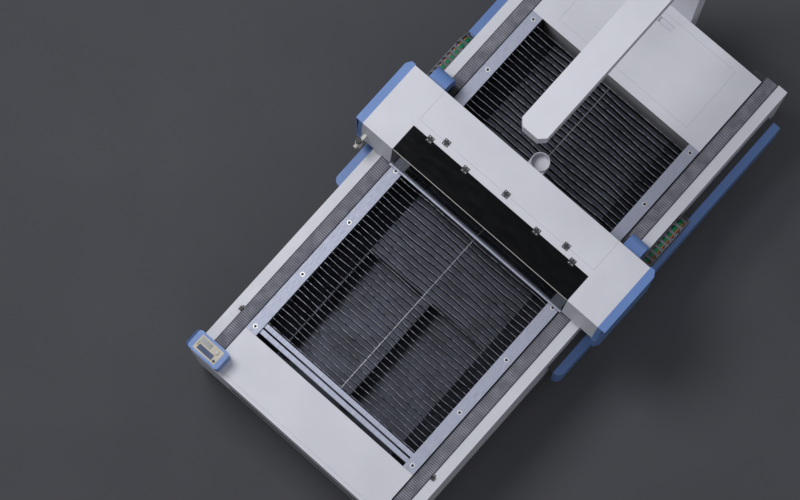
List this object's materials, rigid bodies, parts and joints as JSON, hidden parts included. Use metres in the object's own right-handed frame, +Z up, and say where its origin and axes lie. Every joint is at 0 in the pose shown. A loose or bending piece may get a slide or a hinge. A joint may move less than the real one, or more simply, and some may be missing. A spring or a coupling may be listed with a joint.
{
  "type": "carbon dioxide laser cutter",
  "caption": "Flat-bed laser cutter with a slatted bed, folded way covers, a moving gantry with smoked front window, lidded rear deck and an overhead camera boom.",
  "frame": {"origin": "on the floor, at the middle of the machine's plan", "axes": "+X across the bed to the right, +Y from the front deck to the rear column, +Z up"},
  "size_m": [2.328, 4.31, 2.7],
  "materials": {
    "frame_steel": "satin",
    "white_panel": "satin",
    "blue_panel": "satin",
    "bar_aluminium": "anodised",
    "screw_steel": "polished",
    "slat_steel": "dark",
    "tray_steel": "galvanised",
    "guide_steel": "ground",
    "bellows_cloth": "folded",
    "chain_plastic": "moulded",
    "dark_plastic": "moulded",
    "hinge_steel": "black",
    "smoked_window": "smoked",
    "tube_glass": "clear",
    "electric_case": "satin",
    "brass_tip": "turned",
    "face_plate": "satin",
    "screen_glass": "gloss",
    "key_plastic": "moulded",
    "green_plastic": "gloss",
    "red_plastic": "gloss",
    "belt_rubber": "moulded",
    "knob_plastic": "moulded"
  },
  "bodies": {
    "frame": {"side_beams": "frame_steel", "lower_frame": "frame_steel", "levelling_feet": "dark_plastic", "clamp_bars": "bar_aluminium", "bar_screws": "screw_steel", "slats": "slat_steel", "centre_rod": "guide_steel", "front_cross_bars": "bar_aluminium", "waste_hopper": "tray_steel", "guide_rails": "guide_steel", "bellows_front": "bellows_cloth", "bellows_rear": "bellows_cloth", "front_panel": "white_panel", "front_deck": "white_panel", "side_covers": "white_panel", "side_skirts": "blue_panel", "chain_trays": "frame_steel", "limit_switches": "dark_plastic", "rear_cabinet": "white_panel", "cabinet_electrics": "electric_case", "rear_column": "white_panel", "overhead_boom": "white_panel", "view_camera": "dark_plastic", "cable_chains": "chain_plastic", "control_box": "blue_panel", "control_panel": "face_plate", "control_screen": "screen_glass", "keypad": "key_plastic"},
    "gantry": {"carriages": "frame_steel", "gantry_beam": "bar_aluminium", "gantry_cover": "white_panel", "end_caps": "blue_panel", "drive_motors": "dark_plastic", "motor_covers": "blue_panel", "hinge_leaves": "hinge_steel", "laser_tube": "tube_glass", "optics_mounts": "guide_steel", "x_belt": "belt_rubber", "exhaust_duct": "white_panel", "air_regulator": "knob_plastic"},
    "waste_drawer_right": {"waste_drawer_right": "tray_steel"},
    "waste_drawer_left": {"waste_drawer_left": "tray_steel"},
    "rear_lid": {"rear_lid": "white_panel"},
    "start_button": {"start_button": "green_plastic"},
    "stop_button": {"stop_button": "red_plastic"},
    "jog_dial": {"jog_dial": "knob_plastic"},
    "mode_knob": {"mode_knob": "dark_plastic"},
    "pinion_right": {"pinion_right": "guide_steel"},
    "pinion_left": {"pinion_left": "guide_steel"},
    "beam_lid": {"beam_lid": "white_panel", "lid_leaves": "hinge_steel"},
    "front_window": {"front_window": "smoked_window", "window_trim": "bar_aluminium", "window_leaves": "hinge_steel"},
    "belt_pulley_right": {"belt_pulley_right": "guide_steel"},
    "belt_pulley_left": {"belt_pulley_left": "guide_steel"},
    "head": {"head_carriage": "bar_aluminium"},
    "head_lift": {"laser_head": "bar_aluminium", "nozzle": "brass_tip"},
    "regulator_knob": {"regulator_knob": "dark_plastic"}
  },
  "joints": [
    {"name": "gantry_slide", "type": "slide", "parent": "frame", "child": "gantry", "axis": [0, 1, 0], "range_m": [-1.74, 0.76], "deforming": ["bellows_front", "bellows_rear", "cable_chains"]},
    {"name": "head_slide", "type": "slide", "parent": "gantry", "child": "head", "axis": [1, 0, 0], "range_m": [-0.69, 0.69]},
    {"name": "lift_slide", "type": "slide", "parent": "head", "child": "head_lift", "axis": [0, 0, 1], "range_m": [-0.03, 0.015]},
    {"name": "window_hinge", "type": "hinge", "parent": "gantry", "child": "front_window", "pos_m": [0, 0.06, 1.2748], "axis": [-1, 0, 0], "range_deg": [0, 75]},
    {"name": "beam_lid_hinge", "type": "hinge", "parent": "gantry", "child": "beam_lid", "pos_m": [0, 0.118, 1.2748], "axis": [1, 0, 0], "range_deg": [0, 75]},
    {"name": "rear_lid_hinge", "type": "hinge", "parent": "frame", "child": "rear_lid", "pos_m": [0, 1.417, 0.88], "axis": [1, 0, 0], "range_deg": [0, 85]},
    {"name": "drawer_right_slide", "type": "slide", "parent": "frame", "child": "waste_drawer_right", "axis": [0, -1, 0], "range_m": [0, 0.9]},
    {"name": "drawer_left_slide", "type": "slide", "parent": "frame", "child": "waste_drawer_left", "axis": [0, -1, 0], "range_m": [0, 0.9]},
    {"name": "start_button_press", "type": "slide", "parent": "frame", "child": "start_button", "axis": [0, 0, -1], "range_m": [0, 0.002], "stiffness_N_per_m": 600, "springref_m": -0.001},
    {"name": "stop_button_press", "type": "slide", "parent": "frame", "child": "stop_button", "axis": [0, 0, -1], "range_m": [0, 0.002], "stiffness_N_per_m": 600, "springref_m": -0.001},
    {"name": "jog_dial_turn", "type": "hinge", "parent": "frame", "child": "jog_dial", "pos_m": [-0.804, -2.056, 1.05], "axis": [0, 0, 1], "continuous": true},
    {"name": "mode_knob_turn", "type": "hinge", "parent": "frame", "child": "mode_knob", "pos_m": [-0.78, -2.116, 1.05], "axis": [0, 0, 1], "range_deg": [-60, 60]},
    {"name": "pinion_right_turn", "type": "hinge", "parent": "gantry", "child": "pinion_right", "pos_m": [0.8393, 0.467, 0.8], "axis": [0, 0, 1], "continuous": true},
    {"name": "pinion_left_turn", "type": "hinge", "parent": "gantry", "child": "pinion_left", "pos_m": [-0.8393, 0.467, 0.8], "axis": [0, 0, 1], "continuous": true},
    {"name": "pulley_right_turn", "type": "hinge", "parent": "gantry", "child": "belt_pulley_right", "pos_m": [0.78, 0.128, 1.105], "axis": [0, 1, 0], "continuous": true},
    {"name": "pulley_left_turn", "type": "hinge", "parent": "gantry", "child": "belt_pulley_left", "pos_m": [-0.78, 0.128, 1.105], "axis": [0, 1, 0], "continuous": true},
    {"name": "regulator_knob_turn", "type": "hinge", "parent": "gantry", "child": "regulator_knob", "pos_m": [-1.06, -0.262, 1.12], "axis": [0, 0, 1], "range_deg": [-360, 360]}
  ],
  "couplings": [
    {"joint": "pinion_right_turn", "follows": "gantry_slide", "rad_per_m": 58.824},
    {"joint": "pinion_left_turn", "follows": "gantry_slide", "rad_per_m": -58.824},
    {"joint": "pulley_right_turn", "follows": "head_slide", "rad_per_m": -66.667},
    {"joint": "pulley_left_turn", "follows": "head_slide", "rad_per_m": -66.667}
  ]
}
